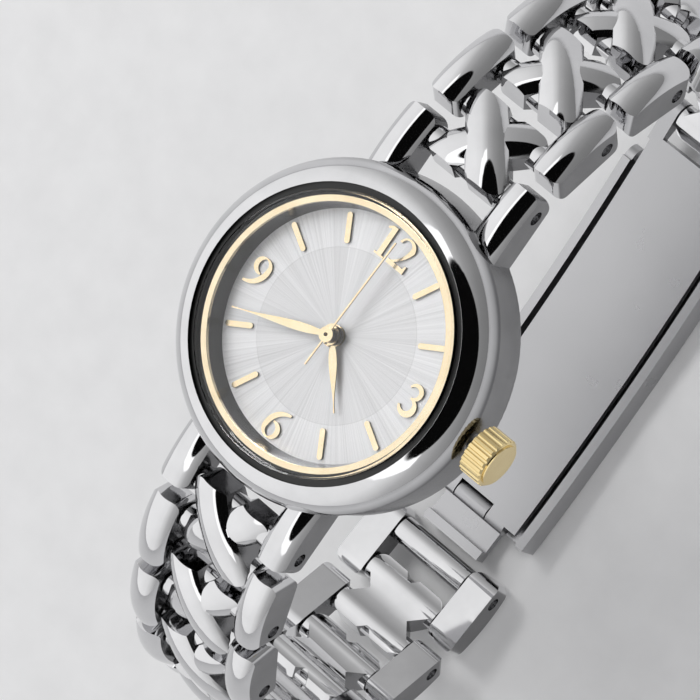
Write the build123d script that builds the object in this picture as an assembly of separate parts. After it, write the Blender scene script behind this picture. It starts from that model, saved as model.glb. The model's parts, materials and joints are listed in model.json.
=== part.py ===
from build123d import *
import math
import os

# A small round quartz watch on a linked steel bracelet, closed round a wrist.
# Millimetres. +Z is out of the dial, +Y is 12 o'clock, +X is 3 o'clock.
# The origin is on the hands' axis, on the outer flat face of the case back.

os.makedirs("parts", exist_ok=True)

# Case, bezel and crystal
case_wall = 1.55
case_edge_round = 0.2
collar_step = 0.55
collar_height = 0.75
bezel_gap = 0.2
bezel_overhang = 0.15
bezel_wall_height = 0.35
bezel_face_width = 1.9
bezel_rim_height = 2.35
bezel_bulge_height = 0.42
bezel_skirt_clearance = 0.02
crystal_thickness = 0.75
crystal_chamfer = 0.15
gasket_width = 0.53
gasket_depth = 0.5
gasket_drop = 0.35

# Dial and the ring round it
dial_rise = 0.25
dial_thickness = 0.4
hour_dial_gap = 0.4
dial_edge_width = 0.4
dial_centre_hole_radius = 0.75
ring_edge_width = 0.15
ring_skirt_width = 0.75
ring_lip_width = 0.47
ring_slope_width = 0.33
ring_rise = 1.8
ring_lip = 0.25
ring_crystal_clearance = 0.03

# Hour markers
marker_rise = 0.22
baton_edge_gap = 0.25
baton_length = 2.24
baton_width = 0.42
numeral_edge_gap = 1.4
numeral_height = 2.4
numeral_width = 1.6
numeral_spacing = 1.55

# Hands, read at about 4:41
hour_hand_gap = 1.06
hour_hand_width = 0.62
hour_hand_angle = 140.7
minute_hand_gap = 0.7
minute_hand_width = 0.62
minute_hand_angle = 248.4
seconds_hand_gap = 0.56
seconds_hand_tail = 2.68
seconds_hand_width = 0.13
seconds_hand_angle = 2.7
hand_neck_width = 0.24
hand_tip_width = 0.12
hand_thickness = 0.12
hour_hand_height = 0.5
minute_hand_height = 0.92
seconds_hand_height = 1.34
hour_boss_radius = 0.85
minute_boss_radius = 0.72
seconds_boss_radius = 0.56
seconds_boss_height = 0.3
boss_dimple_radius = 0.16
boss_dimple_depth = 0.1

# Case back
back_thickness = 0.75
back_flange_step = 0.5
back_slope_width = 2.4
back_floor = 0.55
back_neck_clearance = 0.05
back_neck_width = 0.6
back_neck_height = 0.75
back_gasket_width = 0.45
back_gasket_height = 0.3

# Crown, stem and the lever that the stem carries
crown_radius = 1.95
crown_length = 2.05
crown_flutes = 22
crown_flute_radius = 0.16
crown_gap = 0.65
crown_dome = 0.15
crown_axis_drop = 0.1
crown_skirt_bore = 1.1
crown_skirt_depth = 1.0
stem_radius = 0.4
stem_inner_length = 3.2
stem_clearance = 0.05
stem_groove_radius = 0.25
stem_groove_width = 0.5
stem_groove_gap = 1.0
tube_radius = 0.8
tube_stand = 0.6
lever_width = 1.2
lever_length = 2.1
lever_thickness = 0.4
crown_travel = 0.8

# Movement
movement_radius = 8.8
spacer_width = 2.15
movement_clearance = 0.06
back_room_height = 0.4
bridge_thickness = 0.4
bridge_wheel_gap = 0.17
plate_wheel_gap = 0.11
plate_thickness = 0.55
cell_edge_gap = 0.05
cell_train_gap = 0.15
cell_height = 2.05
cell_clearance = 0.15
cell_step = 0.25
pillar_radius = 0.5
pillar_edge_gap = 0.9
pillar_angles = (35, 90, 170)
board_thickness = 0.2
coil_length = 6.4
coil_radius = 0.55
coil_flange_radius = 0.62
coil_flange_width = 0.3
coil_core_radius = 0.3
coil_core_length = 8.3
coil_back_length = 5.81
coil_side_length = 2.6
stator_thickness = 0.3
stator_width = 2.6
stator_length = 6.4
stator_hole_radius = 1.0

# Wheels: level of each in the train, thickness and tooth sizes
wheel_thickness = 0.18
wheel_gap = 0.1
cannon_gap = 0.06
hour_wheel_gap = 0.16
arbor_radius = 0.1
pivot_clearance = 0.03
pinion_height = 0.22
arbor_stem_radius = 0.12
centre_tube_bore = 0.16
centre_tube_radius = 0.28
cannon_bore = 0.31
cannon_tube_radius = 0.42
hour_tube_bore = 0.47
hour_tube_radius = 0.6
tube_clearance = 0.06
seconds_teeth = 30
fifth_pinion_teeth = 6
fifth_teeth = 36
rotor_pinion_teeth = 6
seconds_pinion_teeth = 6
third_teeth = 45
third_pinion_teeth = 6
centre_teeth = 48
cannon_teeth = 10
minute_wheel_teeth = 30
minute_pinion_teeth = 8
hour_teeth = 32
third_arm_length = 2.6
third_angle = 150
fifth_arm_length = 2.7
fifth_angle = 60
rotor_arm_length = 2.1
rotor_angle = 30
minute_wheel_arm_length = 2.4
minute_wheel_angle = 215
rotor_magnet_radius = 0.7
rotor_magnet_height = 0.5
tooth_addendum_share = 0.75
tooth_dedendum_share = 1.2
tooth_root_share = 0.42
tooth_tip_share = 0.16

# Bracelet links
bracelet_half_width = 6.28
bar_width = 2.6
half_pitch = 3.615
bar_end = 1.48
bar_corner_round = 0.75
bar_below = 1.15
bar_side_height = 1.6
bar_crown_radius = 1.62
bar_crown_drop = 0.7
bar_foot_round = 1.1
centre_side_gap = 0.15
centre_end = 1.15
centre_corner_round = 0.9
cross_lean = 43
hub_radius = 1.05
diagonal_half_width = 1.57
diagonal_below = 0.9
diagonal_top = 2.2
diagonal_crown_radius = 2.1
diagonal_crown_drop = 1.4
under_half_width = 1.46
under_top = 1.85
under_crown_radius = 1.95
under_crown_drop = 1.5
pin_radius = 0.45
pin_clearance = 0.02
pin_sink = 0.55
pin_mouth_radius = 0.56
pin_blind_wall = 0.9
upper_link_count = 7
lower_link_count = 7

# The closed loop: where the first hinge is and how the half links turn
lug_length = 2.47
lug_hinge_height = 2.0
lug_inner_length = 4.03
first_link_angle = 25.7
turn_step = 5.9
turn_growth = 0.4

# Folding clasp
clasp_layer = 0.6
clasp_layer_gap = 0.3
inner_blade_base = -1.1
inner_blade_half_width = 4.6
middle_blade_half_width = 3.5
cover_plate_thickness = 0.7
cover_half_width = 5.85
cover_wall = 0.75
cover_tongue_half_width = 2.9
cover_pivot_radius = 0.95
clasp_rise = 1.5
clasp_end_clear = 2.1
clasp_ear_width = 1.2
clasp_ear_radius = 1.1
fold_from_end = 5.3
fold_knuckle_radius = 0.75
fold_knuckle_half_width = 1.6
fold_pin_radius = 0.3
knuckle_side_gap = 0.1
cover_hinge_from_start = 5.0
cover_knuckle_radius = 0.48
cover_pin_radius = 0.22
cover_overhang = 0.6
cover_tongue_end_gap = 1.75
cover_lip = 0.8
end_tube_radius = 1.1

overrun = 1.0

# Sizes that follow from the ones above
case_bottom = back_thickness
movement_bottom = back_thickness + back_room_height
fifth_level = movement_bottom + bridge_thickness + bridge_wheel_gap
seconds_level = fifth_level + wheel_thickness + wheel_gap
third_level = seconds_level + wheel_thickness + wheel_gap
centre_level = third_level + wheel_thickness + wheel_gap
plate_bottom = centre_level + wheel_thickness + plate_wheel_gap
plate_top = plate_bottom + plate_thickness
cannon_level = plate_top + cannon_gap
hour_level = cannon_level + wheel_thickness + hour_wheel_gap
dial_height = hour_level + hour_dial_gap + dial_thickness
case_top = dial_height - dial_rise
crown_axis_height = plate_top - crown_axis_drop
case_bore_radius = movement_radius + spacer_width
case_radius = case_bore_radius + case_wall
collar_radius = case_radius - collar_step
bezel_radius = case_radius + bezel_overhang
bezel_rim_radius = bezel_radius - bezel_face_width
ring_outer_radius = bezel_rim_radius - ring_edge_width
ring_flange_radius = ring_outer_radius - ring_skirt_width
ring_inner_radius = ring_flange_radius - ring_lip_width
ring_foot_radius = ring_inner_radius - ring_slope_width
dial_radius = ring_outer_radius - dial_edge_width
baton_outer_radius = ring_foot_radius - baton_edge_gap
baton_inner_radius = baton_outer_radius - baton_length
numeral_radius = ring_foot_radius - numeral_edge_gap
hour_hand_length = baton_inner_radius - hour_hand_gap
minute_hand_length = baton_outer_radius - minute_hand_gap
seconds_hand_length = baton_outer_radius - seconds_hand_gap
back_flange_radius = case_radius - back_flange_step
back_flat_radius = back_flange_radius - back_slope_width
back_neck_radius = case_bore_radius - back_neck_clearance
back_gasket_radius = case_bore_radius + back_gasket_width
stem_inner_end = movement_radius - stem_inner_length
stem_groove_place = stem_inner_end + stem_groove_gap
cell_inner_reach = third_arm_length + cell_train_gap
cell_radius = (movement_radius - cell_edge_gap - cell_inner_reach) / 2
cell_place = cell_inner_reach + cell_radius
pillar_place = movement_radius - pillar_radius - pillar_edge_gap
lug_hinge_reach = case_radius + lug_length
lug_root = lug_length + lug_inner_length
bezel_bottom = case_top + bezel_gap
collar_top = case_top + collar_height
rim_top = bezel_bottom + bezel_rim_height
dial_bottom = dial_height - dial_thickness
ring_top = dial_height + ring_rise
crystal_bottom = ring_top + ring_crystal_clearance
bar_inner = bracelet_half_width - bar_width
centre_half_width = bar_inner - centre_side_gap
pin_hole_radius = pin_radius + pin_clearance

nodes = {}


def write_node(name, *solids):
    """Keep a node's solids, to be written as one file."""
    nodes[name] = Compound(children=[solid for piece in solids for solid in piece.solids()])


def disc(radius, low, high):
    return Pos(0, 0, low) * Cylinder(radius, high - low, align=(Align.CENTER, Align.CENTER, Align.MIN))


def ring(outer, inner, low, high):
    return disc(outer, low, high) - disc(inner, low - overrun, high + overrun)


def turned(*edges):
    """A solid of revolution about Z from edges drawn in the XZ plane."""
    return revolve(Plane.XZ * make_face(edges), Axis.Z)


def polar(radius, degrees):
    """A place in the plane of the dial, with the angle read from +X."""
    return radius * math.cos(math.radians(degrees)), radius * math.sin(math.radians(degrees))


def cross_rod(radius, half_length):
    """A round rod along X through the origin."""
    return Rot(0, 90, 0) * Cylinder(radius, 2 * half_length)


def side_prism(face, x_low, x_high):
    """A face drawn as (y, z), made solid from x_low to x_high."""
    return Pos(x_low, 0, 0) * extrude(Plane.YZ * face, x_high - x_low)


def side_box(y_low, y_high, z_low, z_high, half_width):
    size = (2 * half_width, y_high - y_low, z_high - z_low)
    return Pos(-half_width, y_low, z_low) * Box(*size, align=(Align.MIN, Align.MIN, Align.MIN))


# Case parts

def lug(side):
    """One horn: a bar that leaves the case and carries the first pin's end."""
    x_middle = side * (bracelet_half_width - bar_width / 2)
    body = bar_blank(-lug_root, bar_end)
    body -= cross_rod(pin_hole_radius, bar_width)
    body -= Pos(side * bar_width / 2, 0, 0) * cross_rod(pin_mouth_radius, pin_sink)
    return Pos(x_middle, lug_hinge_reach, lug_hinge_height) * body


def lugs():
    pair = lug(1) + lug(-1)
    return pair + Rot(0, 0, 180) * pair


def case_middle():
    body = disc(case_radius, case_bottom, case_top)
    body = fillet(body.edges(), case_edge_round)
    body += disc(collar_radius, case_bottom + case_edge_round, collar_top)
    body += lugs() - disc(collar_radius, -overrun, collar_top + overrun)
    body -= disc(case_bore_radius, -overrun, collar_top + overrun)
    body -= disc(back_gasket_radius, case_bottom - overrun, case_bottom + back_gasket_height)
    tube_hole = Pos(case_radius, 0, crown_axis_height) * cross_rod(tube_radius, case_radius / 2)
    return body - tube_hole


def bezel():
    """A ring pressed over the case's collar, with a bulging outer face."""
    low = bezel_bottom
    wall_top = low + bezel_wall_height
    skirt = collar_radius + bezel_skirt_clearance
    across = bezel_radius - bezel_rim_radius
    rise = rim_top - wall_top
    chord = math.hypot(across, rise)
    crest_radius = (bezel_radius + bezel_rim_radius) / 2 + bezel_bulge_height * rise / chord
    crest_height = (wall_top + rim_top) / 2 + bezel_bulge_height * across / chord
    return turned(
        Line((skirt, low), (bezel_radius, low)),
        Line((bezel_radius, low), (bezel_radius, wall_top)),
        ThreePointArc((bezel_radius, wall_top), (crest_radius, crest_height), (bezel_rim_radius, rim_top)),
        Line((bezel_rim_radius, rim_top), (bezel_rim_radius, collar_top)),
        Line((bezel_rim_radius, collar_top), (skirt, collar_top)),
        Line((skirt, collar_top), (skirt, low)),
    )


def crystal():
    body = disc(bezel_rim_radius - gasket_width, crystal_bottom, crystal_bottom + crystal_thickness)
    return chamfer(body.edges().sort_by(Axis.Z)[-1], crystal_chamfer)


def crystal_gasket():
    top = rim_top - gasket_drop
    return ring(bezel_rim_radius, bezel_rim_radius - gasket_width, top - gasket_depth, top)


def dial_ring():
    """The bright ring under the crystal, with its wall down to the dial."""
    low = dial_height
    neck = ring_top - ring_lip
    seat = dial_height + ring_lip
    return turned(
        Line((ring_foot_radius, low), (ring_outer_radius, low)),
        Line((ring_outer_radius, low), (ring_outer_radius, seat)),
        Line((ring_outer_radius, seat), (ring_flange_radius, neck)),
        Line((ring_flange_radius, neck), (ring_flange_radius, ring_top)),
        Line((ring_flange_radius, ring_top), (ring_inner_radius, ring_top)),
        Line((ring_inner_radius, ring_top), (ring_inner_radius, neck)),
        Line((ring_inner_radius, neck), (ring_foot_radius, low)),
    )


def dial():
    return ring(dial_radius, dial_centre_hole_radius, dial_bottom, dial_height)


def case_back():
    shoulder = back_thickness
    neck_top = shoulder + back_neck_height
    neck_inner = back_neck_radius - back_neck_width
    return turned(
        Line((0, 0), (back_flat_radius, 0)),
        Line((back_flat_radius, 0), (back_flange_radius, shoulder / 2)),
        Line((back_flange_radius, shoulder / 2), (back_flange_radius, shoulder)),
        Line((back_flange_radius, shoulder), (back_neck_radius, shoulder)),
        Line((back_neck_radius, shoulder), (back_neck_radius, neck_top)),
        Line((back_neck_radius, neck_top), (neck_inner, neck_top)),
        Line((neck_inner, neck_top), (neck_inner, back_floor)),
        Line((neck_inner, back_floor), (0, back_floor)),
        Line((0, back_floor), (0, 0)),
    )


def case_back_gasket():
    return ring(back_gasket_radius, back_neck_radius, case_bottom, case_bottom + back_gasket_height)


# Hour markers

def baton(clock_hour):
    middle = (baton_inner_radius + baton_outer_radius) / 2
    length = baton_outer_radius - baton_inner_radius
    shape = SlotOverall(length, baton_width)
    x, y = polar(middle, 90 - 30 * clock_hour)
    return Pos(x, y, dial_height) * Rot(0, 0, 90 - 30 * clock_hour) * extrude(shape, marker_rise)


def numeral_spot(spot_share):
    """A place on a digit, from shares of its half width and half height."""
    return spot_share[0] * numeral_width / 2, spot_share[1] * numeral_height / 2


def swash(outer_shares, inner_shares):
    """A stroke between two arcs, each given by three places."""
    first, crest, last = [numeral_spot(spot) for spot in outer_shares]
    back, dip, home = [numeral_spot(spot) for spot in inner_shares]
    return make_face([
        ThreePointArc(first, crest, last),
        Line(last, back),
        ThreePointArc(back, dip, home),
        Line(home, first),
    ])


def plate_stroke(*corner_shares):
    """A stroke with straight sides."""
    return make_face(Polyline(*[numeral_spot(spot) for spot in corner_shares], close=True))


def digit_one():
    stem_face = plate_stroke((-0.26, -1), (0.26, -1), (0.26, 1), (-0.26, 1))
    foot = plate_stroke((-0.55, -1), (0.55, -1), (0.55, -0.87), (-0.55, -0.87))
    flag = plate_stroke((-0.26, 1), (-0.7, 0.8), (-0.6, 0.7), (-0.2, 0.8))
    return stem_face + foot + flag


def digit_two():
    bowl = swash(((-0.9, 0.5), (0.05, 1), (0.95, 0.4)), ((0.42, 0.4), (0, 0.85), (-0.65, 0.5)))
    slope = swash(((0.95, 0.42), (0.5, -0.15), (-0.5, -0.8)), ((-1, -0.8), (0.15, -0.15), (0.42, 0.42)))
    base = plate_stroke((-1, -1), (1, -1), (1, -0.5), (0.85, -0.5), (0.75, -0.72), (-1, -0.72))
    return bowl + slope + base


def digit_three():
    upper = swash(((-0.85, 0.6), (0.65, 0.65), (-0.2, 0)), ((-0.2, 0.12), (0.2, 0.6), (-0.7, 0.55)))
    lower = swash(((-0.2, 0.12), (0.9, -0.5), (-0.95, -0.65)), ((-0.75, -0.6), (0.35, -0.5), (-0.2, 0)))
    return upper + lower


def digit_six():
    tail = swash(((-1, -0.4), (-0.55, 0.5), (1, 1)), ((1, 0.86), (-0.1, 0.35), (-0.5, -0.4)))
    left = swash(((-1, -0.35), (-0.7, -0.85), (0.05, -1)), ((0.05, -0.92), (-0.4, -0.75), (-0.5, -0.35)))
    right = swash(((-0.2, 0.1), (0.92, -0.45), (0, -1)), ((0, -0.92), (0.42, -0.45), (-0.2, 0)))
    return tail + left + right


def numeral(*placed_digits):
    """Digits side by side, each with its place across."""
    return [Pos(across, 0, 0) * extrude(digit, marker_rise) for digit, across in placed_digits]


def hour_markers():
    solids = [baton(hour) for hour in range(1, 12) if hour % 3]
    step = numeral_spacing / 2
    twelve = numeral((digit_one(), -step), (digit_two(), step))
    three = numeral((digit_three(), 0))
    six = numeral((digit_six(), 0))
    nine = [Rot(0, 0, 180) * piece for piece in six]
    for clock_hour, pieces in ((12, twelve), (3, three), (6, six), (9, nine)):
        x, y = polar(numeral_radius, 90 - 30 * clock_hour)
        solids += [Pos(x, y, dial_height) * piece for piece in pieces]
    return solids


# Hands

def leaf_blade(length, width, start):
    """Half the outline of a leaf hand along +Y, mirrored into a whole one."""
    belly = start + (length - start) * 0.36
    neck = hand_neck_width / 2
    tip = hand_tip_width / 2
    right = Spline(
        (neck, start),
        (width / 2, belly),
        (tip * 2, (belly + length) / 2),
        (tip, length - tip),
    )
    cap = ThreePointArc((tip, length - tip), (0, length), (-tip, length - tip))
    left = mirror(right, Plane.YZ)
    foot = Line((-neck, start), (neck, start))
    return make_face([right, cap, left, foot])


def leaf_hand(length, width, boss_radius, bore, low, clock_angle):
    blade = extrude(leaf_blade(length, width, boss_radius / 2), hand_thickness)
    hand = blade + disc(boss_radius, 0, hand_thickness)
    hand -= disc(bore, -overrun, hand_thickness + overrun)
    return Pos(0, 0, low) * Rot(0, 0, -clock_angle) * hand


def hour_hand():
    low = dial_height + hour_hand_height
    return leaf_hand(hour_hand_length, hour_hand_width, hour_boss_radius, hour_tube_radius, low,
                     hour_hand_angle)


def minute_hand():
    low = dial_height + minute_hand_height
    return leaf_hand(minute_hand_length, minute_hand_width, minute_boss_radius, cannon_tube_radius, low,
                     minute_hand_angle)


def cannon_pinion():
    """The minute hand's tube and pinion, which slip on the centre wheel's tube."""
    top = dial_height + minute_hand_height + hand_thickness
    turn = pinion_turn(cannon_teeth, minute_wheel_angle)
    pinion = gear(cannon_teeth, minute_wheel_teeth, minute_wheel_arm_length, turn,
                  cannon_level, pinion_height)
    body = pinion + disc(cannon_tube_radius, cannon_level, top)
    return body - disc(cannon_bore, cannon_level - overrun, top + overrun)


def seconds_hand():
    low = dial_height + seconds_hand_height
    middle = (seconds_hand_length - seconds_hand_tail) / 2
    needle = SlotOverall(seconds_hand_length + seconds_hand_tail, seconds_hand_width)
    hand = extrude(Pos(0, middle) * Rot(0, 0, 90) * needle, hand_thickness)
    hand += disc(seconds_boss_radius, -hand_thickness / 2, seconds_boss_height)
    hand -= disc(boss_dimple_radius, seconds_boss_height - boss_dimple_depth, overrun)
    hand -= disc(arbor_stem_radius, -overrun, seconds_boss_height / 2)
    return Pos(0, 0, low) * Rot(0, 0, -seconds_hand_angle) * hand


# Wheels

def pitch_radius(teeth, mate, distance):
    """Pitch radius of a wheel whose mate sits at the given distance."""
    return distance * teeth / (teeth + mate)


def gear_face(teeth, mate, distance, turn):
    """Toothed outline; turn is where a tooth's middle points, in degrees."""
    pitch = pitch_radius(teeth, mate, distance)
    module = 2 * pitch / teeth
    tip_radius = pitch + tooth_addendum_share * module
    root_radius = pitch - tooth_dedendum_share * module
    points = []
    step = 360 / teeth
    for tooth in range(teeth):
        middle = turn + tooth * step
        points.append(polar(root_radius, middle - step * tooth_root_share))
        points.append(polar(tip_radius, middle - step * tooth_tip_share))
        points.append(polar(tip_radius, middle + step * tooth_tip_share))
        points.append(polar(root_radius, middle + step * tooth_root_share))
    return make_face(Polyline(*points, close=True))


def gear(teeth, mate, distance, turn, low, thickness):
    return Pos(0, 0, low) * extrude(gear_face(teeth, mate, distance, turn), thickness)


def pinion_turn(teeth, towards):
    """Turn that puts a gap where the wheel's tooth comes in from towards."""
    return towards + 180 / teeth


def arbor(low, high):
    return disc(arbor_radius, low, high)


third_place = polar(third_arm_length, third_angle)
fifth_place = polar(fifth_arm_length, fifth_angle)
rotor_step = polar(rotor_arm_length, rotor_angle)
rotor_place = (fifth_place[0] + rotor_step[0], fifth_place[1] + rotor_step[1])
minute_wheel_place = polar(minute_wheel_arm_length, minute_wheel_angle)
arbor_low = movement_bottom + pivot_clearance
arbor_high = plate_bottom + plate_thickness / 2
pinion_overlap = (pinion_height - wheel_thickness) / 2


def seconds_wheel():
    wheel = gear(seconds_teeth, fifth_pinion_teeth, fifth_arm_length, fifth_angle,
                 seconds_level, wheel_thickness)
    turn = pinion_turn(seconds_pinion_teeth, third_angle)
    pinion = gear(seconds_pinion_teeth, third_teeth, third_arm_length, turn,
                  third_level - pinion_overlap, pinion_height)
    top = dial_height + seconds_hand_height + seconds_boss_height / 2
    stem_part = disc(arbor_stem_radius, seconds_level, top)
    return wheel + pinion + stem_part + arbor(arbor_low, seconds_level + wheel_thickness)


def third_wheel():
    wheel = gear(third_teeth, seconds_pinion_teeth, third_arm_length, third_angle + 180,
                 third_level, wheel_thickness)
    turn = pinion_turn(third_pinion_teeth, third_angle + 180)
    pinion = gear(third_pinion_teeth, centre_teeth, third_arm_length, turn,
                  centre_level - pinion_overlap, pinion_height)
    sleeve = disc(arbor_stem_radius, third_level, centre_level)
    return Pos(*third_place, 0) * (wheel + sleeve + pinion + arbor(arbor_low, arbor_high))


def centre_wheel():
    """Wheel and tube; the seconds arbor runs inside and the cannon pinion outside."""
    wheel = gear(centre_teeth, third_pinion_teeth, third_arm_length, third_angle,
                 centre_level, wheel_thickness)
    top = dial_height + hour_hand_height
    tube = disc(centre_tube_radius, centre_level, top)
    return wheel + tube - disc(centre_tube_bore, centre_level - overrun, top + overrun)


def minute_wheel():
    wheel = gear(minute_wheel_teeth, cannon_teeth, minute_wheel_arm_length, minute_wheel_angle + 180,
                 cannon_level, wheel_thickness)
    turn = pinion_turn(minute_pinion_teeth, minute_wheel_angle + 180)
    pinion = gear(minute_pinion_teeth, hour_teeth, minute_wheel_arm_length, turn,
                  hour_level - pinion_overlap, pinion_height)
    sleeve = disc(arbor_stem_radius, cannon_level, hour_level)
    return Pos(*minute_wheel_place, 0) * (wheel + sleeve + pinion + arbor(arbor_high, hour_level))


def hour_wheel():
    wheel = gear(hour_teeth, minute_pinion_teeth, minute_wheel_arm_length, minute_wheel_angle,
                 hour_level, wheel_thickness)
    top = dial_height + hour_hand_height + hand_thickness
    body = wheel + disc(hour_tube_radius, hour_level, top)
    return body - disc(hour_tube_bore, hour_level - overrun, top + overrun)


def fifth_wheel():
    wheel = gear(fifth_teeth, rotor_pinion_teeth, rotor_arm_length, rotor_angle,
                 fifth_level, wheel_thickness)
    turn = pinion_turn(fifth_pinion_teeth, fifth_angle + 180)
    pinion = gear(fifth_pinion_teeth, seconds_teeth, fifth_arm_length, turn,
                  seconds_level - pinion_overlap, pinion_height)
    sleeve = disc(arbor_stem_radius, fifth_level, seconds_level)
    return Pos(*fifth_place, 0) * (wheel + sleeve + pinion + arbor(arbor_low, arbor_high))


def rotor():
    turn = pinion_turn(rotor_pinion_teeth, rotor_angle + 180)
    pinion = gear(rotor_pinion_teeth, fifth_teeth, rotor_arm_length, turn,
                  fifth_level - pinion_overlap, pinion_height)
    magnet_low = third_level
    magnet = disc(rotor_magnet_radius, magnet_low, magnet_low + rotor_magnet_height)
    return Pos(*rotor_place, 0) * (pinion + magnet + arbor(arbor_low, arbor_high))


# Movement

def pivot_holes(low, high):
    """Bearing holes for every arbor of the train."""
    holes = []
    for place in ((0, 0), third_place, fifth_place, rotor_place):
        holes.append(Pos(*place, 0) * disc(arbor_radius + pivot_clearance, low, high))
    return holes


def cell_pocket():
    return Pos(0, -cell_place, 0) * disc(cell_radius + cell_clearance, -overrun, plate_top + overrun)


def main_plate():
    plate = disc(movement_radius, plate_bottom, plate_top)
    plate -= disc(centre_tube_radius + tube_clearance, plate_bottom - overrun, plate_top + overrun)
    for hole in pivot_holes(plate_bottom - overrun, plate_top + overrun)[1:]:
        plate -= hole
    post = arbor_radius + pivot_clearance
    plate -= Pos(*minute_wheel_place, 0) * disc(post, plate_bottom - overrun, plate_top + overrun)
    plate -= cell_pocket()
    return plate - stem_slot(plate_bottom, plate_top)


def stem_slot(low, high):
    """Room over the stem and its lever as they slide out."""
    reach = movement_radius + overrun
    length = reach - stem_inner_end + lever_width
    width = lever_length + 4 * stem_clearance
    centre = stem_inner_end - lever_width + length / 2
    return Pos(centre, -lever_length / 4, low - overrun) * Box(
        length, width, high - low + 2 * overrun, align=(Align.CENTER, Align.CENTER, Align.MIN))


def train_bridge():
    top = movement_bottom + bridge_thickness
    bridge = disc(movement_radius, movement_bottom, top)
    for hole in pivot_holes(movement_bottom - overrun, top + overrun):
        bridge -= hole
    bridge -= cell_pocket()
    for angle in pillar_angles:
        bridge += Pos(*polar(pillar_place, angle), 0) * disc(pillar_radius, movement_bottom, plate_bottom)
    return bridge


def coin_cell():
    low = movement_bottom
    body = disc(cell_radius, low + cell_step, low + cell_height)
    cap = disc(cell_radius - cell_step, low, low + cell_height)
    return Pos(0, -cell_place, 0) * (body + cap)


def movement_ring():
    outer = case_bore_radius - movement_clearance
    neck_inner = back_neck_radius - back_neck_width - movement_clearance
    neck_top = back_thickness + back_neck_height + movement_clearance
    body = disc(outer, neck_top, dial_bottom) + disc(neck_inner, movement_bottom, neck_top)
    body -= disc(movement_radius + movement_clearance, movement_bottom - overrun, dial_bottom + overrun)
    stem_hole = cross_rod(tube_radius + movement_clearance, outer)
    return body - Pos(outer, 0, crown_axis_height) * stem_hole


def circuit_board():
    """A thin board on the bridge, beside the cell on the 9 o'clock side."""
    low = movement_bottom + bridge_thickness
    inner = cell_radius + 2 * cell_clearance
    board = disc(movement_radius - pillar_radius, low, low + board_thickness)
    reach = 2 * movement_radius
    board &= Pos(-reach / 2, -reach / 2, low + board_thickness / 2) * Box(reach, reach, reach)
    cut_height = -third_arm_length / 2
    board -= Pos(0, cut_height + reach / 2, low) * Box(2 * reach, reach, reach)
    return board - Pos(0, -cell_place, 0) * disc(inner, low - overrun, low + overrun)


coil_height = (movement_bottom + bridge_thickness + plate_bottom) / 2
coil_place = (rotor_place[0] - coil_back_length, rotor_place[1] + coil_side_length)


def coil():
    """A wound coil on its core, lying along X near 11 o'clock."""
    half = coil_length / 2
    body = cross_rod(coil_radius, half - coil_flange_width)
    for side in (-1, 1):
        flange = cross_rod(coil_flange_radius, coil_flange_width / 2)
        body += Pos(side * (half - coil_flange_width / 2), 0, 0) * flange
    return Pos(*coil_place, coil_height) * (body - cross_rod(coil_core_radius + pivot_clearance, half))


def stator():
    """A flat plate round the rotor, and the core that runs through the coil."""
    low = third_level + (rotor_magnet_height - stator_thickness) / 2
    plate = extrude(SlotOverall(stator_length, stator_width), stator_thickness)
    plate = Pos(rotor_place[0], rotor_place[1], low) * Rot(0, 0, 120) * plate
    core_middle = coil_place[0] + (coil_core_length - coil_length) / 2
    plate += Pos(core_middle, coil_place[1], coil_height) * cross_rod(coil_core_radius, coil_core_length / 2)
    bore = disc(stator_hole_radius, low - overrun, low + overrun)
    plate -= Pos(*rotor_place, 0) * bore
    return plate


# Crown and stem

def along_x(part, start):
    """Turn a part made up +Z so it points along +X, from start."""
    return Pos(start, 0, crown_axis_height) * Rot(0, 90, 0) * part


def crown_tube():
    start = case_bore_radius + movement_clearance
    length = case_radius + tube_stand - start
    tube = disc(tube_radius, 0, length) - disc(stem_radius + stem_clearance, -overrun, length + overrun)
    return along_x(tube, start)


def stem():
    start = stem_inner_end
    end = case_radius + crown_gap + crown_length / 2
    rod = disc(stem_radius, 0, end - start)
    groove_low = stem_groove_place - start
    rod -= ring(stem_radius + overrun, stem_groove_radius, groove_low, groove_low + stem_groove_width)
    return along_x(rod, start)


def crown():
    body = disc(crown_radius, 0, crown_length - crown_dome)
    cap_radius = crown_radius - 2 * crown_dome
    body = chamfer(body.edges().sort_by(Axis.Z)[-1], crown_dome)
    body += disc(cap_radius, 0, crown_length)
    for flute in range(crown_flutes):
        x, y = polar(crown_radius + crown_flute_radius / 3, flute * 360 / crown_flutes)
        body -= Pos(x, y, 0) * disc(crown_flute_radius, -overrun, crown_length + overrun)
    body -= disc(crown_skirt_bore, -overrun, crown_skirt_depth)
    body -= disc(stem_radius, 0, crown_length / 2)
    return along_x(body, case_radius + crown_gap)


def setting_lever():
    """A flat lever that rides in the stem's groove and slides with it."""
    middle = stem_groove_place + stem_groove_width / 2
    slot = stem_groove_radius + stem_clearance
    blade = Box(stem_groove_width - 2 * stem_clearance, lever_length, lever_thickness * 2)
    blade = Pos(0, -lever_length / 4, 0) * blade
    blade -= cross_rod(slot, overrun)
    blade -= Pos(0, lever_length / 2, 0) * Box(overrun, lever_length, 2 * slot)
    return Pos(middle, 0, crown_axis_height) * blade


# Bracelet links, each in its own frame: Y along the chain, Z out of the wrist

def crowned(plan, middle, half_length, crown_radius, drop, floor):
    """Keep what of an upright plan lies under a crown that falls by drop at both ends."""
    bend_radius = (half_length**2 + drop**2) / (2 * drop)
    hoop = Rot(0, 90, 0) * Torus(bend_radius, crown_radius)
    return plan & (Pos(0, middle, floor - bend_radius) * hoop)


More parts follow.
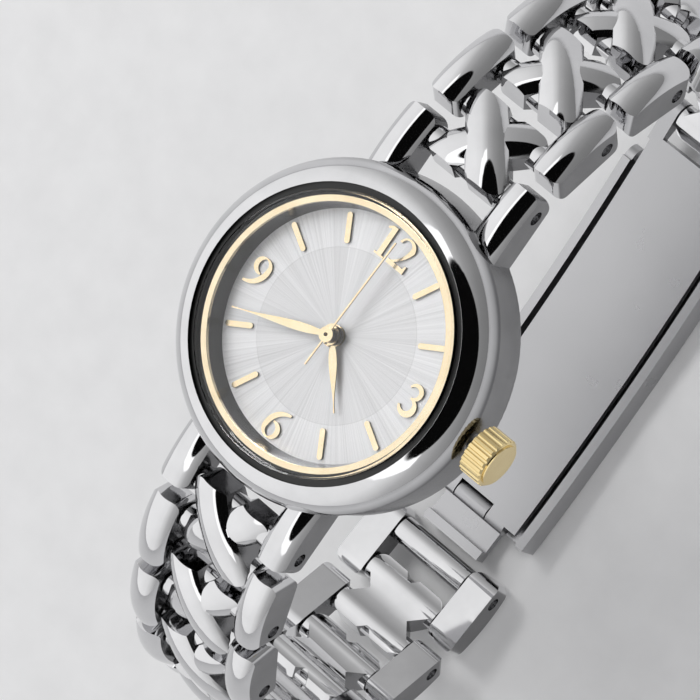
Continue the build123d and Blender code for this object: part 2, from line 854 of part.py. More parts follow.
def bar_blank(y_low, y_high):
    """A side bar or lug before its holes, centred on X."""
    length = y_high - y_low
    middle = (y_low + y_high) / 2
    floor = bar_side_height - math.sqrt(bar_crown_radius**2 - (bar_width / 2) ** 2)
    top = floor + bar_crown_radius
    plan_face = Pos(0, middle) * RectangleRounded(bar_width, length, bar_corner_round)
    plan = Pos(0, 0, -bar_below) * extrude(plan_face, top + bar_below + overrun)
    upper = crowned(plan, middle, length / 2, bar_crown_radius, bar_crown_drop, floor)
    upper &= side_box(y_low - overrun, y_high + overrun, floor, top + overrun, bar_width)
    side_face = Pos(middle, floor) * RectangleRounded(length, 2 * (floor + bar_below), bar_foot_round)
    lower = side_prism(side_face, -bar_width, bar_width) & plan
    lower &= side_box(y_low - overrun, y_high + overrun, -bar_below - overrun, floor, bar_width)
    return upper + lower


def side_bar(side):
    """One outer bar, blind at its near pin and open at its far pin."""
    bar = bar_blank(-bar_end, half_pitch + bar_end)
    near_hole = Pos(-side * pin_blind_wall, 0, 0) * cross_rod(pin_hole_radius, bar_width / 2)
    far_hole = Pos(0, half_pitch, 0) * cross_rod(pin_hole_radius, bar_width)
    mouth = Pos(side * bar_width / 2, half_pitch, 0) * cross_rod(pin_mouth_radius, pin_sink)
    bar = bar - near_hole - far_hole - mouth
    return Pos(side * (bracelet_half_width - bar_width / 2), 0, 0) * bar


def crossed_bar(half_width, crown_radius, top, drop, side):
    """One bar of a centre piece's cross, from corner to corner of the piece."""
    half_length = half_pitch / 2 + centre_end
    reach = math.hypot(centre_half_width, half_length)
    floor = top - crown_radius
    plan = Pos(0, 0, -diagonal_below) * extrude(Rectangle(2 * half_width, 2 * reach), diagonal_below + top)
    upper = crowned(plan, 0, reach, crown_radius, drop, floor)
    upper &= side_box(-reach, reach, floor, top + overrun, 2 * half_width)
    lower = plan & side_box(-reach, reach, -diagonal_below, floor, 2 * half_width)
    body = Pos(0, half_pitch / 2, 0) * Rot(0, 0, side * cross_lean) * (upper + lower)
    outline = RectangleRounded(2 * centre_half_width, 2 * half_length, centre_corner_round)
    block = Pos(0, half_pitch / 2, -diagonal_below) * extrude(outline, diagonal_below + top)
    return body & block


def centre_piece():
    """Two hubs under a cross of two bars, the upper one laid over the lower."""
    body = cross_rod(hub_radius, centre_half_width)
    body += Pos(0, half_pitch, 0) * cross_rod(hub_radius, centre_half_width)
    body += crossed_bar(under_half_width, under_crown_radius, under_top, under_crown_drop, -1)
    body += crossed_bar(diagonal_half_width, diagonal_crown_radius, diagonal_top, diagonal_crown_drop, 1)
    body -= cross_rod(pin_hole_radius, bracelet_half_width)
    body -= Pos(0, half_pitch, 0) * cross_rod(pin_hole_radius, bracelet_half_width)
    return body


def hinge_pin(half_length):
    return cross_rod(pin_radius, half_length)


near_pin_half = bracelet_half_width - pin_sink - pin_clearance
far_pin_half = bracelet_half_width - pin_blind_wall - pin_clearance


def turn_at(index):
    """How far below level a half link points, counted from the lug."""
    return first_link_angle + turn_step * index + turn_growth * index * index


def chain_places(count):
    """Hinge places and directions of the half links, from the lug on."""
    y = lug_hinge_reach
    z = lug_hinge_height
    places = []
    for index in range(count):
        angle = turn_at(index)
        places.append((y, z, angle))
        y += half_pitch * math.cos(math.radians(angle))
        z -= half_pitch * math.sin(math.radians(angle))
    return places, (y, z)


def on_chain(part, place, flip):
    """Set a link in the loop; flip puts it on the 6 o'clock side."""
    y, z, angle = place
    placed = Pos(0, y, z) * Rot(-angle, 0, 0) * part
    return Rot(0, 0, 180) * placed if flip else placed


def write_chain(name, places, flip, last_pin_half):
    """Write every half link of one side: centre pieces and bars in turn."""
    centre = centre_piece()
    bars = [side_bar(side) for side in (-1, 1)]
    for index, place in enumerate(places):
        number = index // 2 + 1
        if index % 2:
            solids = [on_chain(bar, place, flip) for bar in bars]
            if index == len(places) - 1:
                solids += [on_chain(piece, place, flip) for piece in end_tube()]
            write_node(f"{name}_link_{number}_bars", *solids)
        else:
            is_last = index == len(places) - 1
            far_half = last_pin_half if is_last else far_pin_half
            pins = [hinge_pin(near_pin_half), Pos(0, half_pitch, 0) * hinge_pin(far_half)]
            solids = [on_chain(piece, place, flip) for piece in [centre] + pins]
            write_node(f"{name}_link_{number}_centre", *solids)


def end_tube():
    """The tube and pin at the free end, where the clasp's tongue arrives."""
    tube = cross_rod(end_tube_radius, centre_half_width) - cross_rod(pin_hole_radius, bracelet_half_width)
    pin = hinge_pin(near_pin_half)
    return [Pos(0, half_pitch, 0) * tube, Pos(0, half_pitch, 0) * pin]


# Clasp, in the frame of its first hinge: Y towards the 6 o'clock chain

upper_places, clasp_start = chain_places(2 * upper_link_count - 1)
lower_places, lower_end = chain_places(2 * lower_link_count)
clasp_span_y = -lower_end[0] - clasp_start[0]
clasp_span_z = lower_end[1] - clasp_start[1]
clasp_length = math.hypot(clasp_span_y, clasp_span_z)
clasp_angle = math.degrees(math.atan2(-clasp_span_z, clasp_span_y))
clasp_bend_radius = (clasp_length**2 / 4 + clasp_rise**2) / (2 * clasp_rise)
fold_y = clasp_length - fold_from_end
middle_blade_base = inner_blade_base + clasp_layer + clasp_layer_gap
cover_base = middle_blade_base + clasp_layer + clasp_layer_gap
cover_top = cover_base + cover_plate_thickness


def clasp_point(along, offset):
    """A place on the clasp's bend: along its chord and out from the bend line."""
    lean = math.asin((along - clasp_length / 2) / clasp_bend_radius)
    reach = clasp_bend_radius + offset
    return clasp_length / 2 + reach * math.sin(lean), clasp_rise - clasp_bend_radius + reach * math.cos(lean)


def clasp_band(start, end, low, high, half_width):
    """A bent plate between two offsets, the same on both sides of X."""
    middle = (start + end) / 2
    corners = [clasp_point(start, low), clasp_point(end, low), clasp_point(end, high), clasp_point(start, high)]
    face = make_face([
        ThreePointArc(corners[0], clasp_point(middle, low), corners[1]),
        Line(corners[1], corners[2]),
        ThreePointArc(corners[2], clasp_point(middle, high), corners[3]),
        Line(corners[3], corners[0]),
    ])
    return side_prism(face, -half_width, half_width)


fold_spot = clasp_point(fold_y, inner_blade_base + fold_knuckle_radius)
cover_hinge_spot = clasp_point(cover_hinge_from_start, middle_blade_base + clasp_layer / 2)


def clasp_inner_blade():
    """The blade nearest the wrist, with ears on the last upper link."""
    low = inner_blade_base
    top = low + clasp_layer
    plate = clasp_band(clasp_end_clear, fold_y, low, top, inner_blade_half_width)
    root = clasp_end_clear + clasp_layer
    ear_face = Circle(clasp_ear_radius)
    ear_face += make_face(Polyline(
        (0, -clasp_ear_radius),
        clasp_point(root, low),
        clasp_point(root, top),
        (0, clasp_layer),
        close=True,
    ))
    ear = side_prism(ear_face, bar_inner, bar_inner + clasp_ear_width)
    plate += ear + mirror(ear, Plane.YZ)
    room_half = fold_knuckle_half_width + knuckle_side_gap
    outer_half = (middle_blade_half_width - room_half) / 2
    for side in (-1, 1):
        knuckle = cross_rod(fold_knuckle_radius, outer_half)
        plate += Pos(side * (room_half + outer_half), *fold_spot) * knuckle
    room_start = fold_y - fold_knuckle_radius - knuckle_side_gap
    plate -= clasp_band(room_start, fold_y + overrun, low - overrun, top + overrun, room_half)
    plate -= Pos(0, *fold_spot) * cross_rod(fold_pin_radius + pin_clearance, bracelet_half_width)
    return plate - cross_rod(pin_hole_radius, bracelet_half_width)


def fold_pin():
    return Pos(0, *fold_spot) * cross_rod(fold_pin_radius, middle_blade_half_width)


def clasp_middle_blade():
    low = middle_blade_base
    top = low + clasp_layer
    room_start = fold_y - fold_knuckle_radius - knuckle_side_gap
    plate = clasp_band(cover_hinge_from_start, room_start, low, top, middle_blade_half_width)
    plate += clasp_band(room_start - overrun, fold_y, low, top, fold_knuckle_half_width)
    plate += Pos(0, *fold_spot) * cross_rod(fold_knuckle_radius, fold_knuckle_half_width)
    plate += Pos(0, *cover_hinge_spot) * cross_rod(cover_knuckle_radius, middle_blade_half_width)
    plate -= Pos(0, *fold_spot) * cross_rod(fold_pin_radius + pin_clearance, bracelet_half_width)
    bore = cross_rod(cover_pin_radius + pin_clearance, bracelet_half_width)
    return plate - Pos(0, *cover_hinge_spot) * bore


def cover_pin():
    pin = cross_rod(cover_pin_radius, cover_half_width - cover_wall / 3)
    return Pos(0, *cover_hinge_spot) * pin


def clasp_cover():
    """The outer leaf: a shallow channel over the blades, ending in a tongue."""
    start = cover_hinge_from_start
    end = fold_y + cover_overhang
    body = clasp_band(start, end, cover_base, cover_top, cover_half_width)
    inner_half = cover_half_width - cover_wall
    walls = clasp_band(start, end, inner_blade_base, cover_top, cover_half_width)
    walls += Pos(0, *cover_hinge_spot) * cross_rod(cover_pivot_radius, cover_half_width)
    room = clasp_band(start - 2 * overrun, end + overrun, inner_blade_base - overrun, cover_base, inner_half)
    room += side_box(-overrun, start, inner_blade_base - overrun, cover_top + 2 * overrun, inner_half)
    body += walls - room
    tongue_end = clasp_length - cover_tongue_end_gap
    body += clasp_band(end - overrun, tongue_end, cover_base, cover_top, cover_tongue_half_width)
    body += clasp_band(tongue_end - cover_lip, tongue_end, 0, cover_top, cover_tongue_half_width)
    bore = cross_rod(cover_pin_radius + pin_clearance, cover_half_width - cover_wall / 4)
    return body - Pos(0, *cover_hinge_spot) * bore


# Write every node

write_node("case_middle", case_middle())
write_node("bezel", bezel())
write_node("crystal", crystal())
write_node("crystal_gasket", crystal_gasket())
write_node("dial_ring", dial_ring())
write_node("dial", dial())
write_node("hour_markers", *hour_markers())
write_node("movement_ring", movement_ring())
write_node("main_plate", main_plate())
write_node("train_bridge", train_bridge())
write_node("coin_cell", coin_cell())
write_node("circuit_board", circuit_board())
write_node("coil", coil())
write_node("stator", stator())
write_node("crown_tube", crown_tube())
write_node("case_back", case_back())
write_node("case_back_gasket", case_back_gasket())
write_node("hour_wheel", hour_wheel())
write_node("hour_hand", hour_hand())
write_node("centre_wheel", centre_wheel())
write_node("minute_hand", minute_hand(), cannon_pinion())
write_node("seconds_wheel", seconds_wheel())
write_node("seconds_hand", seconds_hand())
write_node("minute_wheel", minute_wheel())
write_node("third_wheel", third_wheel())
write_node("fifth_wheel", fifth_wheel())
write_node("rotor", rotor())
write_node("setting_lever", setting_lever())
write_node("stem", stem())
write_node("crown", crown())

clasp_place = (clasp_start[0], clasp_start[1], clasp_angle)
last_pin_half = bar_inner + clasp_ear_width
write_chain("upper", upper_places, False, last_pin_half)
write_chain("lower", lower_places, True, far_pin_half)
blade_pieces = [on_chain(piece, clasp_place, False) for piece in (clasp_inner_blade(), fold_pin())]
write_node("clasp_inner_blade", *blade_pieces)
write_node("clasp_middle_blade", on_chain(clasp_middle_blade(), clasp_place, False))
cover_pieces = [on_chain(piece, clasp_place, False) for piece in (clasp_cover(), cover_pin())]
write_node("clasp_cover", *cover_pieces)

for node_name, shape in nodes.items():
    export_step(shape, f"parts/{node_name}.step")

print("clasp length", round(clasp_length, 2), "angle", round(clasp_angle, 2))
print("clasp start", clasp_start, "lower end", lower_end)
print("nodes", len(nodes))
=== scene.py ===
import bpy
import bmesh
import json
import math
from mathutils import Matrix, Vector

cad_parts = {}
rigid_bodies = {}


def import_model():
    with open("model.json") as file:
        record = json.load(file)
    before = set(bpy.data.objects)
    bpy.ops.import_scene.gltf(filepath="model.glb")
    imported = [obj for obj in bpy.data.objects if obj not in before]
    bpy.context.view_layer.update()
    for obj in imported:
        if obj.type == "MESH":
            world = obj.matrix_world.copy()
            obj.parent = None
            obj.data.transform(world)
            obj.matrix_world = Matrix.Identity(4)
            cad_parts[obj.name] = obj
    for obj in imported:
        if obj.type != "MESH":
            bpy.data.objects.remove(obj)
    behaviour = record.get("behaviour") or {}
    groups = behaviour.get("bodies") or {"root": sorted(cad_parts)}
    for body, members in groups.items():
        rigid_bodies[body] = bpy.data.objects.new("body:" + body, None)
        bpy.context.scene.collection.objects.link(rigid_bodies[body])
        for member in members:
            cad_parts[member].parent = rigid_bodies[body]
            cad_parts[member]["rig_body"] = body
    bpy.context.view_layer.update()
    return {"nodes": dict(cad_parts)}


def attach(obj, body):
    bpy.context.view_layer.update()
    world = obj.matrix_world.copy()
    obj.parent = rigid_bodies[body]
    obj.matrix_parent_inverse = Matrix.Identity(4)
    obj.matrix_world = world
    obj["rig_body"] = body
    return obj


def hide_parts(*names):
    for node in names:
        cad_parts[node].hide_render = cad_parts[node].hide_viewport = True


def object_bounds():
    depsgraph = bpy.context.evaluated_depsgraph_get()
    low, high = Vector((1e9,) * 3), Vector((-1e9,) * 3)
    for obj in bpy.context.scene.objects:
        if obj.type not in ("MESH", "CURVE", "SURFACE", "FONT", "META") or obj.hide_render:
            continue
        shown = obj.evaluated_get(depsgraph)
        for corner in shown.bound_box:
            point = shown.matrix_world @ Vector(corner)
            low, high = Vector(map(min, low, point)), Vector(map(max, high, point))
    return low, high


# A small bracelet watch, dressed over its CAD frame. Metres; the dial faces +Z.

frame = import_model()
nodes = frame["nodes"]
MM = 0.001

# Camera, fitted to the dial, the case and the first links of the photograph
CAMERA_PLACE = (0.1527, 0.0824, 0.3465)
CAMERA_RIGHT = (0.7044, 0.5528, -0.4453)
CAMERA_UP = (-0.5896, 0.8049, 0.0665)
LENS_MM = 280
SENSOR_MM = 36

# Tones shared by the polished steels
POLISHED_DARK = (0.6, 0.6, 0.61)
POLISHED_LIGHT = (0.67, 0.67, 0.68)
TURNED_DARK = (0.4, 0.4, 0.41)

# Dial and its ring
INNER_DISC_RADIUS = 6.3 * MM
INNER_DISC_LINE = 0.035 * MM
RING_LIP_BOTTOM = 6.1 * MM
HUB_PIN_RADIUS = 0.13 * MM

# Rounded edges
SHARP_ANGLE = math.radians(30)
MERGE_DISTANCE = 0.002 * MM
LEVEL = 0.999

# Studio
FLOOR_HALF_WIDTH = 1.5
FLAG_AXIS = (0.4012, 0.1447, 0.904)
FLAG_TONE = 0.003
SOFTBOX_TONE = 1.65
WALL_STRENGTH = 1.25
SOFT_LIGHT = (0.66, 0.66, 0.67, 1)
KEY_PLACE = (-0.22, 0.13, 0.44)
KEY_WIDTH = 0.16
KEY_WATTS = 0.9


def make_camera():
    data = bpy.data.cameras.new("camera")
    data.sensor_width = SENSOR_MM
    data.lens = LENS_MM
    data.clip_start = 0.01
    data.clip_end = 5
    camera = bpy.data.objects.new("camera", data)
    bpy.context.scene.collection.objects.link(camera)
    right = Vector(CAMERA_RIGHT)
    back = right.cross(Vector(CAMERA_UP)).normalized()
    up = back.cross(right).normalized()
    right.normalize()
    turn = Matrix((right, up, back)).transposed()
    camera.matrix_world = Matrix.Translation(CAMERA_PLACE) @ turn.to_4x4()
    bpy.context.scene.camera = camera


# Node helpers

def new_material(name):
    material = bpy.data.materials.new(name)
    material.use_nodes = True
    tree = material.node_tree
    return material, tree, tree.nodes["Principled BSDF"]


def put(tree, kind, **settings):
    node = tree.nodes.new(kind)
    for key, value in settings.items():
        setattr(node, key, value)
    return node


def ramp(tree, source, stops):
    """A colour ramp over source, with (place, grey or colour) stops."""
    node = put(tree, "ShaderNodeValToRGB")
    elements = node.color_ramp.elements
    while len(elements) < len(stops):
        elements.new(0.5)
    for element, (place, colour) in zip(elements, stops):
        element.position = place
        if not isinstance(colour, tuple):
            colour = (colour, colour, colour)
        element.color = (*colour, 1)
    tree.links.new(source, node.inputs["Fac"])
    return node.outputs["Color"]


def mottled(tree, grain, dark, light):
    """A faint mottle between two tones of one colour."""
    return ramp(tree, grain, [(0.3, dark), (0.7, light)])


def math_node(tree, operation, first, second=None, third=None):
    node = put(tree, "ShaderNodeMath", operation=operation)
    for socket, value in zip(node.inputs, (first, second, third)):
        if value is None:
            continue
        if hasattr(value, "is_output"):
            tree.links.new(value, socket)
        else:
            socket.default_value = value
    return node.outputs[0]


def vector_node(tree, operation, source):
    node = put(tree, "ShaderNodeVectorMath", operation=operation)
    tree.links.new(source, node.inputs[0])
    return node


def map_range(tree, source, before=(0.0, 1.0), after=(0.0, 1.0)):
    node = put(tree, "ShaderNodeMapRange")
    tree.links.new(source, node.inputs["Value"])
    for name, value in zip(("From Min", "From Max", "To Min", "To Max"), (*before, *after)):
        node.inputs[name].default_value = value
    return node.outputs["Result"]


def mix_colour(tree, share, under, over):
    """Over laid on under, by share."""
    mix = put(tree, "ShaderNodeMix", data_type="RGBA")
    tree.links.new(share, mix.inputs["Factor"])
    for socket, colour in ((mix.inputs["A"], under), (mix.inputs["B"], over)):
        if isinstance(colour, tuple):
            socket.default_value = colour
        else:
            tree.links.new(colour, socket)
    return mix.outputs["Result"]


def split(tree, vector):
    """The X, Y and Z outputs of a vector."""
    node = put(tree, "ShaderNodeSeparateXYZ")
    tree.links.new(vector, node.inputs[0])
    return node.outputs


def object_place(tree):
    return put(tree, "ShaderNodeTexCoord").outputs["Object"]


def noise(tree, place, scale, detail=3.0):
    node = put(tree, "ShaderNodeTexNoise")
    node.inputs["Scale"].default_value = scale
    node.inputs["Detail"].default_value = detail
    tree.links.new(place, node.inputs["Vector"])
    return node.outputs["Fac"]


def bump(tree, shader, height, strength, distance=0.00001):
    node = put(tree, "ShaderNodeBump")
    node.inputs["Strength"].default_value = strength
    node.inputs["Distance"].default_value = distance
    tree.links.new(height, node.inputs["Height"])
    tree.links.new(node.outputs["Normal"], shader.inputs["Normal"])


# Materials

def metal(name, dark, light, smooth, rough, scale=900.0):
    """Polished metal: a faint cloud in its colour and polish, and hairline wear."""
    material, tree, shader = new_material(name)
    place = object_place(tree)
    cloud = noise(tree, place, scale * 0.25)
    tree.links.new(mottled(tree, cloud, dark, light), shader.inputs["Base Color"])
    fine = noise(tree, place, scale, 5.0)
    polish = map_range(tree, fine, after=(smooth, rough))
    tree.links.new(polish, shader.inputs["Roughness"])
    shader.inputs["Metallic"].default_value = 1.0
    bump(tree, shader, fine, 0.04)
    return material


def plain(name, dark, light, roughness, scale=600.0):
    """Moulded or painted matter, with a fine mottle."""
    material, tree, shader = new_material(name)
    place = object_place(tree)
    mottle = noise(tree, place, scale)
    tree.links.new(mottled(tree, mottle, dark, light), shader.inputs["Base Color"])
    shader.inputs["Roughness"].default_value = roughness
    bump(tree, shader, noise(tree, place, scale * 4), 0.03, 0.00002)
    return material


def sunray_dial():
    """Silver with fine rays from the centre, broad bright and dark sectors of painted sheen over
    them, and a slightly darker inner disc.
    """
    material, tree, shader = new_material("sunray_silver")
    place = split(tree, object_place(tree))
    flat = put(tree, "ShaderNodeCombineXYZ")
    tree.links.new(place["X"], flat.inputs["X"])
    tree.links.new(place["Y"], flat.inputs["Y"])
    radius = vector_node(tree, "LENGTH", flat.outputs[0]).outputs["Value"]
    ray = vector_node(tree, "NORMALIZE", flat.outputs[0]).outputs["Vector"]
    fine = noise(tree, ray, 60.0, 6.0)
    # Painted sheen: broad bright and dark sectors by angle stand in for the light the brushed rays
    # reflect.
    painted_sheen_sectors = noise(tree, ray, 7.0, 3.0)
    both = math_node(tree, "ADD", math_node(tree, "MULTIPLY", fine, 0.6),
                     math_node(tree, "MULTIPLY", painted_sheen_sectors, 0.4))
    # The fine rays are the dial's own brushing, and the broad sectors over them are painted sheen.
    rays_and_painted_sheen = ramp(tree, both, [
        (0.3, (0.45, 0.45, 0.46)), (0.5, (0.58, 0.58, 0.59)), (0.7, (0.68, 0.68, 0.69))])
    inner = math_node(tree, "LESS_THAN", radius, INNER_DISC_RADIUS)
    off_line = math_node(tree, "SUBTRACT", radius, INNER_DISC_RADIUS)
    line = math_node(tree, "LESS_THAN", math_node(tree, "ABSOLUTE", off_line), INNER_DISC_LINE)
    shade = math_node(tree, "SUBTRACT", 1.0, math_node(tree, "MULTIPLY", inner, 0.09))
    shade = math_node(tree, "SUBTRACT", shade, math_node(tree, "MULTIPLY", line, 0.12))
    tint = vector_node(tree, "SCALE", rays_and_painted_sheen)
    tree.links.new(shade, tint.inputs["Scale"])
    tree.links.new(tint.outputs["Vector"], shader.inputs["Base Color"])
    shader.inputs["Metallic"].default_value = 0.5
    tree.links.new(map_range(tree, fine, after=(0.28, 0.42)), shader.inputs["Roughness"])
    bump(tree, shader, fine, 0.2, 0.00002)
    return material


def clear_glass():
    """Clear crystal that lets the studio light through to the dial."""
    material, tree, shader = new_material("clear_crystal")
    smear = noise(tree, object_place(tree), 150.0)
    tree.links.new(map_range(tree, smear, after=(0.0, 0.02)), shader.inputs["Roughness"])
    shader.inputs["Base Color"].default_value = (1, 1, 1, 1)
    shader.inputs["Transmission Weight"].default_value = 1.0
    shader.inputs["IOR"].default_value = 1.45
    open_way = put(tree, "ShaderNodeBsdfTransparent")
    ray = put(tree, "ShaderNodeLightPath")
    both = put(tree, "ShaderNodeMixShader")
    tree.links.new(ray.outputs["Is Shadow Ray"], both.inputs[0])
    tree.links.new(shader.outputs[0], both.inputs[1])
    tree.links.new(open_way.outputs[0], both.inputs[2])
    tree.links.new(both.outputs[0], tree.nodes["Material Output"].inputs["Surface"])
    return material


def ring_gold():
    """Gold on the ring's lip, and painted shade, near black, on the polished wall below it."""
    material, tree, shader = new_material("dial_ring_gold")
    place = object_place(tree)
    lip = math_node(tree, "GREATER_THAN", split(tree, place)["Z"], RING_LIP_BOTTOM)
    grain = noise(tree, place, 500.0)
    # Painted shade: the wall below the lip is coloured near black.
    wall = mottled(tree, grain, (0.03, 0.03, 0.032), (0.042, 0.042, 0.044))
    gold = mottled(tree, grain, (0.8, 0.66, 0.44), (0.88, 0.74, 0.52))
    tree.links.new(mix_colour(tree, lip, wall, gold), shader.inputs["Base Color"])
    shader.inputs["Metallic"].default_value = 1.0
    shader.inputs["Roughness"].default_value = 0.18
    bump(tree, shader, grain, 0.005)
    return material


def gold_with_painted_side_shade(name, pin_radius=0.0):
    """Pale gold on faces that look up, painted shade in a dark bronze tone on the sides, and a dark
    pin in the middle.
    """
    material, tree, shader = new_material(name)
    source = put(tree, "ShaderNodeTexCoord")
    place = source.outputs["Object"]
    facing = split(tree, source.outputs["Normal"])
    grain = noise(tree, place, 700.0)
    face = mottled(tree, grain, (0.86, 0.7, 0.45), (0.92, 0.77, 0.53))
    # Painted shade: the sides of markers and hands take a dark bronze tone.
    side = mottled(tree, grain, (0.07, 0.045, 0.018), (0.11, 0.07, 0.03))
    top = map_range(tree, facing["Z"], before=(0.6, 0.9))
    if pin_radius:
        apart = split(tree, place)
        reach = math_node(tree, "ADD", math_node(tree, "POWER", apart["X"], 2.0),
                          math_node(tree, "POWER", apart["Y"], 2.0))
        off_pin = math_node(tree, "GREATER_THAN", reach, pin_radius**2)
        top = math_node(tree, "MULTIPLY", top, off_pin)
    tree.links.new(mix_colour(tree, top, side, face), shader.inputs["Base Color"])
    shader.inputs["Metallic"].default_value = 1.0
    shader.inputs["Roughness"].default_value = 0.16
    bump(tree, shader, grain, 0.05)
    return material


def steel_with_painted_wall_shade(name, axis, start, end, tone=0.2, matt=0.2):
    """Polished steel with darker walls of painted shade, set by how far a face looks along an axis.
    """
    material, tree, shader = new_material(name)
    source = put(tree, "ShaderNodeTexCoord")
    facing = split(tree, source.outputs["Normal"])
    walls = map_range(tree, math_node(tree, "ABSOLUTE", facing[axis]), before=(start, end))
    grain = noise(tree, source.outputs["Object"], 300.0)
    polished = mottled(tree, grain, POLISHED_DARK, POLISHED_LIGHT)
    # The walls' tone is painted shade: a dark grey in place of the polished steel.
    light_tone = tone * 1.25
    wall_shade_dark = (tone, tone, tone + 0.005)
    wall_shade_light = (light_tone, light_tone, light_tone + 0.005)
    painted_wall_shade = mottled(tree, grain, wall_shade_dark, wall_shade_light)
    tree.links.new(mix_colour(tree, walls, polished, painted_wall_shade), shader.inputs["Base Color"])
    tree.links.new(math_node(tree, "MULTIPLY_ADD", walls, matt, 0.05), shader.inputs["Roughness"])
    shader.inputs["Metallic"].default_value = 1.0
    bump(tree, shader, grain, 0.04)
    return material


steel = metal("polished_steel", POLISHED_DARK, POLISHED_LIGHT, 0.03, 0.07)
brushed = metal("clasp_steel", TURNED_DARK, (0.46, 0.46, 0.47), 0.26, 0.3, 250.0)
dull = metal("turned_steel", TURNED_DARK, (0.55, 0.55, 0.56), 0.25, 0.4)
# Painted shade on the walls: the case and bezel on faces that look sideways, the bars and centre
# links on faces that look along X.
case_metal = steel_with_painted_wall_shade("case_steel", "Z", 0.45, 0.25)
bezel_metal = steel_with_painted_wall_shade("bezel_steel", "Z", 0.5, 0.1, tone=0.12, matt=0.06)
bar_metal = steel_with_painted_wall_shade("side_bar_steel", "X", 0.8, 0.9)
centre_metal = steel_with_painted_wall_shade("centre_link_steel", "X", 0.58, 0.66)
marker_gold = gold_with_painted_side_shade("marker_gold")
hand_gold = gold_with_painted_side_shade("hand_gold")
hub_gold = gold_with_painted_side_shade("hub_gold", HUB_PIN_RADIUS)
crown_gold = metal("crown_gold", (0.72, 0.56, 0.28), (0.82, 0.67, 0.36), 0.12, 0.22)
brass = metal("movement_brass", (0.6, 0.5, 0.28), (0.74, 0.64, 0.4), 0.25, 0.4)
copper = metal("coil_copper", (0.6, 0.28, 0.14), (0.75, 0.38, 0.2), 0.25, 0.4)
rubber = plain("black_rubber", 0.003, 0.008, 0.3, 150.0)
resin = plain("white_resin", 0.7, 0.8, 0.5)
board = plain("green_board", (0.02, 0.15, 0.06), (0.04, 0.22, 0.1), 0.4)

FINISHES = {
    "crystal": clear_glass(),
    "dial": sunray_dial(),
    "dial_ring": ring_gold(),
    "hour_markers": marker_gold,
    "hour_hand": hand_gold,
    "minute_hand": hand_gold,
    "seconds_hand": hub_gold,
    "crown": crown_gold,
    "crystal_gasket": rubber,
    "case_back_gasket": rubber,
    "case_middle": case_metal,
    "bezel": bezel_metal,
    "movement_ring": resin,
    "circuit_board": board,
    "coil": copper,
    "coin_cell": dull,
    "stator": dull,
    "rotor": dull,
    "stem": dull,
    "setting_lever": dull,
    "crown_tube": dull,
    "main_plate": brass,
    "train_bridge": brass,
}
FINISHES_BY_ENDING = {
    "_wheel": brass,
    "_blade": brushed,
    "_cover": brushed,
    "_bars": bar_metal,
    "_centre": centre_metal,
}


def finish_of(name):
    """The finish of each CAD node: its own, that of its kind, or polished steel."""
    if name in FINISHES:
        return FINISHES[name]
    for ending, finish in FINISHES_BY_ENDING.items():
        if name.endswith(ending):
            return finish
    return steel


# Pieces

def softened(name, edge, segments=3, level_faces_flat=False):
    """A piece in place of a CAD node, with smooth faces and its edges rounded, in mm."""
    mesh = bmesh.new()
    mesh.from_mesh(nodes[name].data)
    bmesh.ops.remove_doubles(mesh, verts=mesh.verts, dist=MERGE_DISTANCE)
    data = bpy.data.meshes.new(name + "_form")
    mesh.to_mesh(data)
    mesh.free()
    # The node's stored normals no longer fit the merged points.
    if "custom_normal" in data.attributes:
        data.attributes.remove(data.attributes["custom_normal"])
    data.set_sharp_from_angle(angle=SHARP_ANGLE)
    if level_faces_flat:
        for face in data.polygons:
            face.use_smooth = abs(face.normal.z) < LEVEL
    data.materials.append(finish_of(name))
    piece = bpy.data.objects.new(name + "_form", data)
    bpy.context.scene.collection.objects.link(piece)
    bevel = piece.modifiers.new("edge", "BEVEL")
    bevel.width = edge * MM
    bevel.segments = segments
    bevel.limit_method = "ANGLE"
    bevel.angle_limit = SHARP_ANGLE
    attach(piece, nodes[name]["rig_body"])
    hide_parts(name)


for name, node in nodes.items():
    node.data.materials.clear()
    node.data.materials.append(finish_of(name))

for name in [name for name in nodes if "_link_" in name]:
    softened(name, edge=0.18, segments=4)
for name in ("case_middle", "case_back", "crown",
             "clasp_cover", "clasp_inner_blade", "clasp_middle_blade"):
    softened(name, edge=0.08)
for name in ("bezel", "dial_ring", "hour_hand", "minute_hand", "seconds_hand"):
    softened(name, edge=0.02)
softened("hour_markers", edge=0.05)
softened("crystal", edge=0.02, level_faces_flat=True)


# Studio

def make_floor():
    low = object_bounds()[0].z
    mesh = bmesh.new()
    bmesh.ops.create_grid(mesh, x_segments=8, y_segments=8, size=FLOOR_HALF_WIDTH)
    bmesh.ops.translate(mesh, verts=mesh.verts, vec=(0, 0, low))
    data = bpy.data.meshes.new("floor")
    mesh.to_mesh(data)
    mesh.free()
    data.materials.append(plain("pale_floor", 0.79, 0.83, 0.9, 300.0))
    floor = bpy.data.objects.new("floor", data)
    bpy.context.scene.collection.objects.link(floor)


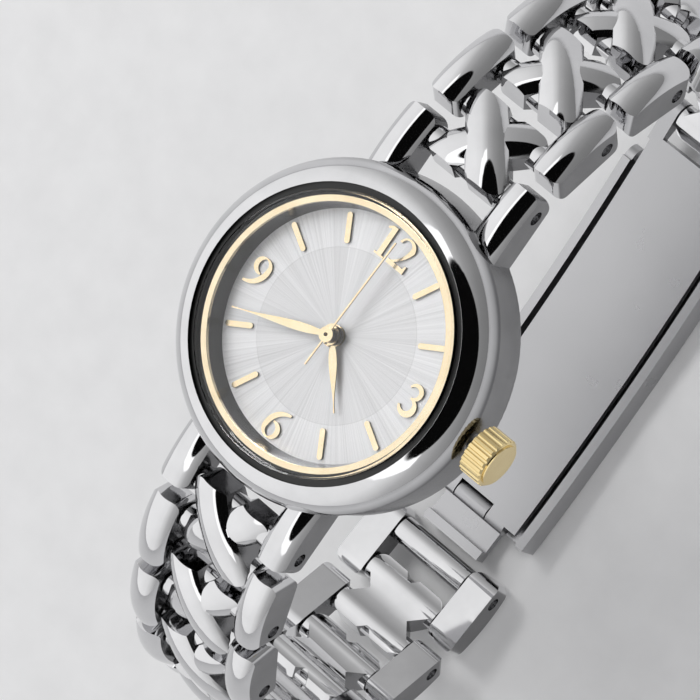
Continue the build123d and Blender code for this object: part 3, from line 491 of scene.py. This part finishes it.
def along(tree, direction, axis):
    """How far a direction points along an axis of the studio."""
    dot = vector_node(tree, "DOT_PRODUCT", direction)
    dot.inputs[1].default_value = axis
    return dot.outputs["Value"]


def panel(tree, share, behind, tone):
    """A studio panel of one grey in front of what lies behind it."""
    return mix_colour(tree, share, behind, (tone, tone, tone, 1))


def make_world():
    """Soft white for the light, and the panels of a studio for what metal mirrors."""
    world = bpy.data.worlds.new("studio")
    bpy.context.scene.world = world
    world.use_nodes = True
    tree = world.node_tree
    direction = put(tree, "ShaderNodeTexCoord").outputs["Generated"]
    across = along(tree, direction, CAMERA_RIGHT)
    tones = ramp(tree, math_node(tree, "MULTIPLY_ADD", across, 0.5, 0.5), [
        (0.0, 0.96), (0.1, 0.95), (0.26, 0.86), (0.36, 0.68),
        (0.46, 0.48), (0.62, 0.34), (0.8, 0.25), (1.0, 0.2)])
    walls = vector_node(tree, "SCALE", tones)
    walls.inputs["Scale"].default_value = WALL_STRENGTH
    # A black round flag on the camera's side, with a softbox round its left half.
    to_flag = along(tree, direction, FLAG_AXIS)
    left_half = map_range(tree, across, before=(-0.15, -0.19))
    softbox = math_node(tree, "MULTIPLY", map_range(tree, to_flag, before=(0.715, 0.73)), left_half)
    flag = map_range(tree, to_flag, before=(0.828, 0.842))
    lit = panel(tree, softbox, walls.outputs["Vector"], SOFTBOX_TONE)
    shaded = panel(tree, flag, lit, FLAG_TONE)
    ray = put(tree, "ShaderNodeLightPath")
    seen = mix_colour(tree, ray.outputs["Is Glossy Ray"], SOFT_LIGHT, shaded)
    back = tree.nodes["Background"]
    tree.links.new(seen, back.inputs["Color"])
    back.inputs["Strength"].default_value = 1.0


def make_key_lamp():
    data = bpy.data.lights.new("key", "AREA")
    data.size = KEY_WIDTH
    data.energy = KEY_WATTS
    lamp = bpy.data.objects.new("key", data)
    bpy.context.scene.collection.objects.link(lamp)
    lamp.location = KEY_PLACE
    lamp.visible_glossy = False
    lamp.rotation_mode = "QUATERNION"
    lamp.rotation_quaternion = Vector(KEY_PLACE).to_track_quat("Z", "Y")


make_camera()
make_world()
make_key_lamp()
make_floor()
bpy.context.scene.view_settings.view_transform = "Standard"
